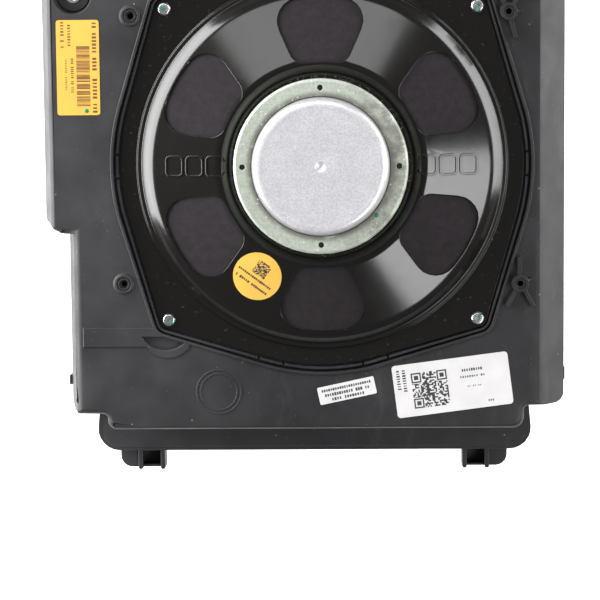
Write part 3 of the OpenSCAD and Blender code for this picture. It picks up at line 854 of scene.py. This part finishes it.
class WOOFER_OT_lower_shell(Maker, bpy.types.Operator):
    """Lower shell with its duct ledge and sill hooks"""

    bl_idname = "woofer.lower_shell"
    bl_label = "Lower shell"

    FOOT_Z = 0.5 * MM
    LEDGE_Y = -149 * MM
    LEDGE_Z = 20 * MM
    HOOKS_Y = -170.5 * MM
    HOOKS_Z = 7.5 * MM

    def make(self, scene):
        s = scene.woofer_housing

        def rounding(edge):
            mid = middle(edge)
            low, high = edge_heights(edge)
            inside = -150 * MM < mid.x < 140 * MM and -166.5 * MM < mid.y < 137 * MM and low > self.FOOT_Z
            if inside or not edge.is_convex or (low > self.LEDGE_Z and mid.y > self.LEDGE_Y):
                return 0
            if high < self.FOOT_Z:
                return 1.2 * MM if mid.xy.length > 150 * MM else 0.4 * MM
            if mid.y < self.HOOKS_Y and low > self.HOOKS_Z:
                return 1.1 * s.edge
            return 0.9 * s.edge if low > self.LEDGE_Z else 0.4 * s.edge

        mesh = rounded_copy("housing_lower", rounding)
        piece("lower_shell", mesh, "plastic", "housing_plastic", stands_for=["housing_lower"])


class WOOFER_OT_basket(Maker, bpy.types.Operator):
    """Painted steel basket with its six windows"""

    bl_idname = "woofer.basket"
    bl_label = "Basket"

    # Outer face of the dish, (radius, height, corner radius) in millimetres
    DISH = [
        (112, 55.7, 0), (108.2, 55.7, 0.7), (107.6, 58, 0.7), (105.2, 58.4, 1),
        (99.5, 63.6, 14), (56.5, 78.9, 6.5), (52.8, 72.7, 2), (42, 72.7, 0),
    ]
    # How near a point has to lie to the dish, and its face to the dish's slope, to take its normal
    NEAR = 0.75 * MM
    ALIKE = math.cos(math.radians(14))

    def make(self, scene):
        s = scene.woofer_driver

        def rounding(edge):
            high = edge_heights(edge)[1]
            if not edge.is_convex or edge.calc_face_angle() < math.radians(40):
                return 0
            return s.window_edge if high > 60 * MM else 0.2 * MM

        mesh = rounded_copy("basket", rounding, segments=2)
        self.true_normals(mesh)
        piece("basket_frame", mesh, "paint", "basket_paint", stands_for=["basket"])

    def true_normals(self, mesh):
        """Sets the dish's exact normals, so that its reflections run smoothly."""
        outer, inner = self.DISH[0][0] * MM, self.DISH[-1][0] * MM
        path = np.array([tuple(p) for p in rounded_points(self.DISH, 12)]) * MM
        steps = [np.linspace(a, b, 40, endpoint=False) for a, b in zip(path, path[1:])]
        points = np.concatenate(steps)
        along = np.gradient(points, axis=0)
        out = np.stack([-along[:, 1], along[:, 0]], 1)
        out /= np.linalg.norm(out, axis=1)[:, None]
        out *= np.where(out[:, 1:2] < -1e-3, -1, 1)
        corners = np.empty(len(mesh.loops) * 3, np.float32)
        mesh.corner_normals.foreach_get("vector", corners)
        corners = corners.reshape(-1, 3)
        verts = np.array([v.co for v in mesh.vertices])
        reach = np.linalg.norm(verts[:, :2], axis=1)
        exact = np.zeros_like(verts)
        near = np.full(len(verts), False)
        for i in np.nonzero((reach > inner) & (reach < outer))[0]:
            gap = (points[:, 0] - reach[i]) ** 2 + (points[:, 1] - verts[i, 2]) ** 2
            k = int(gap.argmin())
            near[i] = gap[k] < self.NEAR ** 2
            exact[i] = (*(out[k, 0] * verts[i, :2] / reach[i]), out[k, 1])
        for face in mesh.polygons:
            for loop in face.loop_indices:
                v = mesh.loops[loop].vertex_index
                if near[v] and np.dot(np.array(face.normal), exact[v]) > self.ALIKE:
                    corners[loop] = exact[v]
        mesh.normals_split_custom_set(corners)


class WOOFER_OT_felts(Maker, bpy.types.Operator):
    """Felt behind the six windows, with loose lint"""

    bl_idname = "woofer.felts"
    bl_label = "Window felts"

    def make(self, scene):
        s = scene.woofer_driver
        lint = lint_tree()
        tops = bmesh.new()
        for node in WINDOWS:
            finish_nodes(felt=node)
            tops.from_mesh(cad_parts[node].data)
        hidden = [f for f in tops.faces if f.normal.z < 0.5]
        bmesh.ops.delete(tops, geom=hidden, context="FACES")
        area = sum(f.calc_area() for f in tops.faces)
        source = as_mesh(tops, "felt_tops")
        grow(lint, "felt_lint", "lint", "window_felt", source=source, count=len(WINDOWS) * s.lint / area,
             fibre=2.2 * MM, thickness=0.03 * MM, lift=0.04 * MM, seed=4)


class WOOFER_OT_motor(Maker, bpy.types.Operator):
    """Shielding can, steel cap and the plates inside"""

    bl_idname = "woofer.motor"
    bl_label = "Motor"

    def make(self, scene):
        def rounding(edge):
            return 0.3 * MM if edge.is_convex and edge.calc_face_angle() > math.radians(60) else 0

        mesh = rounded_copy("magnet_can", rounding, segments=2)
        piece("can", mesh, "zinc", "can_zinc", stands_for=["magnet_can"])
        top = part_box("yoke")[1].z / MM
        # The pole, the plate, the cap with its raised border and the centre mark, from the inside out
        section = [
            (0, 71.7, 0), (24.4, 71.7, 0.4), (24.4, 92.7, 0), (30, 92.7, 0), (30, 87.7, 0), (46, 87.7, 0.3),
            (46, 90.6, 0.3), (39.2, 90.6, 0.3), (39.2, top, 5), (33.8, top, 4), (32.8, top - 0.12, 4),
            (3.8, top - 0.12, 0.4), (3.1, top, 0.3), (2.3, top - 0.4, 0.5), (0.8, top - 1.2, 0.5),
            (0, top - 1.2, 0),
        ]
        mesh = lathe([tuple(p * MM) for p in rounded_points(section, 8)], 192)
        piece("cap", smoothed(mesh, 40), "cap", "cap_steel", stands_for=["yoke"])
        finish_nodes(steel="front_plate", ferrite="magnet_ring", fibre="spider_ring")


class WOOFER_OT_screws(Maker, bpy.types.Operator):
    """Basket screws with their dye marks, and the shell screws"""

    bl_idname = "woofer.screws"
    bl_label = "Screws"

    def screw(self, name, head, shank, rise, socket):
        """One screw at the origin with a six-lobed socket, its head's underside at height 0."""
        section = [
            (0, -shank, 0), (1.9, -shank, 0.5), (1.9, 0, 0), (head, 0, 0.2), (head, rise * 0.55, 0.5),
            (head * 0.8, rise, 0.8), (socket + 0.15, rise, 0),
        ]
        solid = bmesh.new()
        solid.from_mesh(lathe([tuple(p * MM) for p in rounded_points(section, 5)], 48))
        top = [v for v in solid.verts if abs(v.co.z - rise * MM) < 1e-7]
        rim = [v for v in top if v.co.xy.length < (socket + 0.2) * MM]
        rim.sort(key=lambda v: math.atan2(v.co.y, v.co.x))
        depth = rise * 0.75 * MM
        mouth, floor = [], []
        for vert in rim:
            a = math.atan2(vert.co.y, vert.co.x)
            r = (socket - 0.22 + 0.2 * math.cos(6 * a)) * MM
            mouth.append(solid.verts.new((r * math.cos(a), r * math.sin(a), rise * MM)))
            floor.append(solid.verts.new((0.9 * r * math.cos(a), 0.9 * r * math.sin(a), rise * MM - depth)))
        for k in range(len(rim)):
            j = (k + 1) % len(rim)
            solid.faces.new((rim[k], rim[j], mouth[j], mouth[k]))
            solid.faces.new((mouth[k], mouth[j], floor[j], floor[k]))
        solid.faces.new(floor)
        bmesh.ops.recalc_face_normals(solid, faces=solid.faces)
        return linked(name, smoothed(as_mesh(solid, name), 38))

    def make(self, scene):
        tree = fastener_tree()
        corners = [(x * SCREW_XY, y * SCREW_XY, DECK_Z) for x in (-1, 1) for y in (-1, 1)]
        model = self.screw("screw_model", head=3.8, shank=17, rise=2.25, socket=1.7)
        grow(tree, "driver_screws", "screw", "zinc_screw", points=corners, stands_for=["basket_screws"],
             fastener=model, turn=6.28, seed=3)
        bpy.data.objects.remove(model)
        section = [(0, 0), (1.0, 0), (1.25, 0.12), (0.9, 0.3), (0, 0.34)]
        drop = lathe([(r * MM, z * MM) for r, z in section], 16)
        drop.shade_smooth()
        model = linked("dye_model", drop)
        spots = [Vector(c) + Vector((dx, dy, 2.0)) * MM for c, (dx, dy) in
                 zip(corners, ((1.6, -1.4), (-1.8, 0.6), (1.2, 1.8), (0.6, -2.0)))]
        spots += [Vector((31.6, -27.6, 92.0)) * MM, Vector((-136.7, 32.4, 58.2)) * MM]
        grow(tree, "dye_marks", "dye", "zinc_screw", points=spots, fastener=model, turn=6.28, seed=9)
        bpy.data.objects.remove(model)
        finish_nodes(steel="housing_screws")


class WOOFER_OT_labels(Maker, bpy.types.Operator):
    """Yellow and white labels with generic printed marks"""

    bl_idname = "woofer.labels"
    bl_label = "Labels"

    # Blocks of marks: (offset from the label's centre, (columns, rows), area, smallest mark, largest
    # mark, share printed), in millimetres along the label's own axes
    PART = (
        ((3, -5), (1, 42), (0, 34), (7.8, 0.2), (7.9, 0.75), 0.85),
        ((9.6, 0), (1, 26), (0, 51), (2.2, 0.8), (2.7, 1.4), 0.88),
        ((-9, 19), (1, 9), (0, 14), (1.5, 0.5), (2.1, 1.0), 0.9),
        ((-5, 19.5), (1, 9), (0, 13), (1.5, 0.5), (2.0, 1.0), 0.85),
        ((-3.4, -4.5), (1, 17), (0, 19), (1.4, 0.4), (1.9, 0.8), 0.85),
        ((-7, -4), (1, 18), (0, 17), (0.8, 0.3), (1.2, 0.6), 0.8),
    )
    ROUND = (
        ((-0.188, 4.961), (16, 16), (8.0, 8.0), (0.5, 0.5), (0.56, 0.56), 0.55),
        ((-0.611, -1.696), (17, 1), (21.5, 0), (0.6, 1.1), (1.1, 1.7), 0.85),
        ((-0.357, -5.738), (16, 1), (20.5, 0), (0.6, 1.1), (1.1, 1.7), 0.9),
    )
    LARGE = (
        ((-13.1, -0.7), (25, 25), (20.2, 20.2), (0.84, 0.84), (0.86, 0.86), 0.5),
        ((-31, 6), (1, 9), (0, 12), (1.5, 0.5), (2.2, 1.0), 0.95),
        ((-27.6, 6), (1, 9), (0, 12), (1.5, 0.5), (2.2, 1.0), 0.95),
        ((12.4, 7.7), (9, 1), (11, 0), (0.6, 1.3), (1.0, 1.7), 1.0),
        ((12.3, 3.8), (11, 1), (13.6, 0), (0.5, 1.1), (0.9, 1.5), 0.92),
        ((12.7, -2.0), (8, 1), (7.4, 0), (0.3, 0.8), (0.5, 1.0), 0.8),
        ((21.4, -11.8), (3, 1), (2.4, 0), (0.5, 1.0), (0.8, 1.3), 1.0),
    )
    SMALL = (
        ((0, 2.6), (22, 1), (28.5, 0), (0.6, 1.2), (1.1, 1.7), 0.92),
        ((0, -0.3), (19, 1), (25.5, 0), (0.7, 1.4), (1.2, 1.9), 0.92),
        ((0, -3.2), (13, 1), (18.2, 0), (0.7, 1.4), (1.2, 1.9), 0.92),
    )
    # (label, finish, ink, centre, angle, first seed, blocks)
    LABELS = (
        ("part_label", "yellow", "brown_ink", (-141.2, 57.4), 0, 5, PART),
        ("round_label", "yellow", "black_ink", (-37.6, -63.8), -36.5, 21, ROUND),
        ("large_label", "white", "black_ink", (75.8, -129.9), 7.3, 31, LARGE),
        ("small_label", "white", "black_ink", (13.8, -133), 12, 41, SMALL),
    )
    # The marks' height over the top face, and over the dish at the foot of its slope
    TOP = FACE_Z + 0.23 * MM
    SLOPE = 0.356
    FOOT = 74 * MM
    DISH_TOP = 78.9 * MM - SLOPE * (FOOT - 56.5 * MM) + 0.29 * MM
    CODE_CELL = 0.84

    def make(self, scene):
        tree = print_tree()
        for label, finish, ink, centre, angle, seed, blocks in self.LABELS:
            finish_nodes(**{finish: label})
            a = math.radians(angle)
            draped = label == "round_label"
            for i, (offset, count, area, smallest, largest, fill) in enumerate(blocks):
                x = centre[0] + offset[0] * math.cos(a) - offset[1] * math.sin(a)
                y = centre[1] + offset[0] * math.sin(a) + offset[1] * math.cos(a)
                grow(
                    tree, f"{label}_marks_{i + 1}", ink, f"label_{finish}", columns=count[0], rows=count[1],
                    area=on_plan(area, 0.0), smallest=on_plan(smallest, 1.0), largest=on_plan(largest, 1.0),
                    fill=fill, place=on_plan((x, y), self.DISH_TOP if draped else self.TOP),
                    turn=(0.0, 0.0, a), fall=self.SLOPE if draped else 0.0,
                    foot=self.FOOT if draped else 0.0, seed=seed + i,
                )
            if label == "large_label":
                self.finders(fastener_tree(), centre, a, blocks[0][0])

    def finders(self, tree, centre, angle, offset):
        """The three nested squares in the corners of the square code."""
        turn = Matrix.Rotation(angle, 3, "Z")
        spots = [
            Vector((*centre, 0)) + turn @ (Vector((*offset, 0)) + Vector((x, y, 0)) * 9 * self.CODE_CELL)
            for x, y in ((-1, 1), (1, 1), (-1, -1))
        ]
        for i, (cells, ink) in enumerate(((8, "white"), (7, "black_ink"), (5, "white"), (3, "black_ink"))):
            half = cells * self.CODE_CELL / 2 * MM
            card = bpy.data.meshes.new("card")
            corners = [turn @ Vector((x, y, 0)) * half for x, y in ((-1, -1), (1, -1), (1, 1), (-1, 1))]
            card.from_pydata([tuple(c) for c in corners], [], [(0, 1, 2, 3)])
            model = linked("card_model", card)
            lift = self.TOP + (i + 1) * 0.012 * MM
            points = [(p.x * MM, p.y * MM, lift) for p in spots]
            grow(tree, f"large_label_finder_{i + 1}", ink, "label_white", points=points, fastener=model,
                 turn=0.0, seed=1)
            bpy.data.objects.remove(model)


class WOOFER_OT_seals(Maker, bpy.types.Operator):
    """Gaskets, seal, bushes, sleeves and the connector"""

    bl_idname = "woofer.seals"
    bl_label = "Seals and connector"

    def make(self, scene):
        finish_nodes(
            foam="housing_seal basket_gasket duct_gasket", rubber="mounting_grommets",
            steel="mounting_sleeves", brass="connector_pins terminal_pos terminal_neg",
            red_wire="lead_pos", black_wire="lead_neg",
        )
        for node, name, slot in (
            ("connector_socket", "socket_shell", "connector_plastic"),
            ("terminal_block", "terminal_carrier", "block_plastic"),
        ):
            mesh = rounded_copy(node, lambda edge: 0.35 * MM if edge.is_convex else 0)
            piece(name, mesh, "black_plastic", slot, stands_for=[node])


class WOOFER_OT_moving(Maker, bpy.types.Operator):
    """Cone, dust cap, coil and their suspension"""

    bl_idname = "woofer.moving"
    bl_label = "Cone and suspension"

    def make(self, scene):
        finish_nodes(paper="cone dust_cap", film="voice_coil_former", copper="voice_coil_winding")
        # Each is fixed to the basket at its outer radius and to the moving parts at its inner one
        for node, name, finish, slot, inner, outer in (
            ("surround", "rolled_surround", "rubber", "surround_rubber", 84.6, 101.6),
            ("spider", "centring_spider", "spider", "spider_cloth", 28, 45.4),
        ):
            self.bending(node, name, finish, slot, lambda v: v.xy.length / MM, inner, outer)
        for side in ("pos", "neg"):
            lead = f"tinsel_lead_{side}"
            self.bending(lead, f"flexible_lead_{side}", "tinsel", "tinsel_copper", lambda v: v.y / MM, 58, 94)

    def bending(self, node, name, finish, slot, reach, moving, fixed):
        """A smoothed copy on no body; it works out each point's share of the cone's motion, whole where reach
        is below moving and none beyond fixed, but nothing uses that share.
        """
        mesh = smoothed(as_mesh(merged_copy(node), name), 50)
        obj = piece(name, mesh, finish, slot, body=None, stands_for=[node])
        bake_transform(obj)
        share_moved = [(fixed - reach(v.co)) / (fixed - moving) for v in mesh.vertices]
        share_moved = [min(1.0, max(0.0, w)) for w in share_moved]


OPERATORS = (
    WOOFER_OT_stage, WOOFER_OT_upper_shell, WOOFER_OT_lower_shell, WOOFER_OT_basket, WOOFER_OT_felts,
    WOOFER_OT_motor, WOOFER_OT_screws, WOOFER_OT_labels, WOOFER_OT_seals, WOOFER_OT_moving,
)
SETTINGS = {
    "woofer_stage": StageSettings, "woofer_housing": HousingSettings,
    "woofer_driver": DriverSettings, "woofer_labels": LabelSettings,
}


class WOOFER_PT_panel(bpy.types.Panel):
    """Lists the sizes, colours and steps"""

    bl_idname = "WOOFER_PT_panel"
    bl_label = "Subwoofer"
    bl_space_type = "VIEW_3D"
    bl_region_type = "UI"
    bl_category = "Subwoofer"

    def draw(self, context):
        for name, group in SETTINGS.items():
            box = self.layout.box()
            for key in group.__annotations__:
                box.prop(getattr(context.scene, name), key)
        for operator in OPERATORS:
            self.layout.operator(operator.bl_idname)


def register():
    for group in SETTINGS.values():
        bpy.utils.register_class(group)
    for name, group in SETTINGS.items():
        setattr(bpy.types.Scene, name, PointerProperty(type=group))
    for cls in (*OPERATORS, WOOFER_PT_panel):
        bpy.utils.register_class(cls)


def unregister():
    for cls in (WOOFER_PT_panel, *reversed(OPERATORS)):
        bpy.utils.unregister_class(cls)
    for name, group in SETTINGS.items():
        delattr(bpy.types.Scene, name)
        bpy.utils.unregister_class(group)


def main():
    register()
    for operator in OPERATORS:
        group, step = operator.bl_idname.split(".")
        getattr(getattr(bpy.ops, group), step)()


if __name__ == "__main__":
    main()
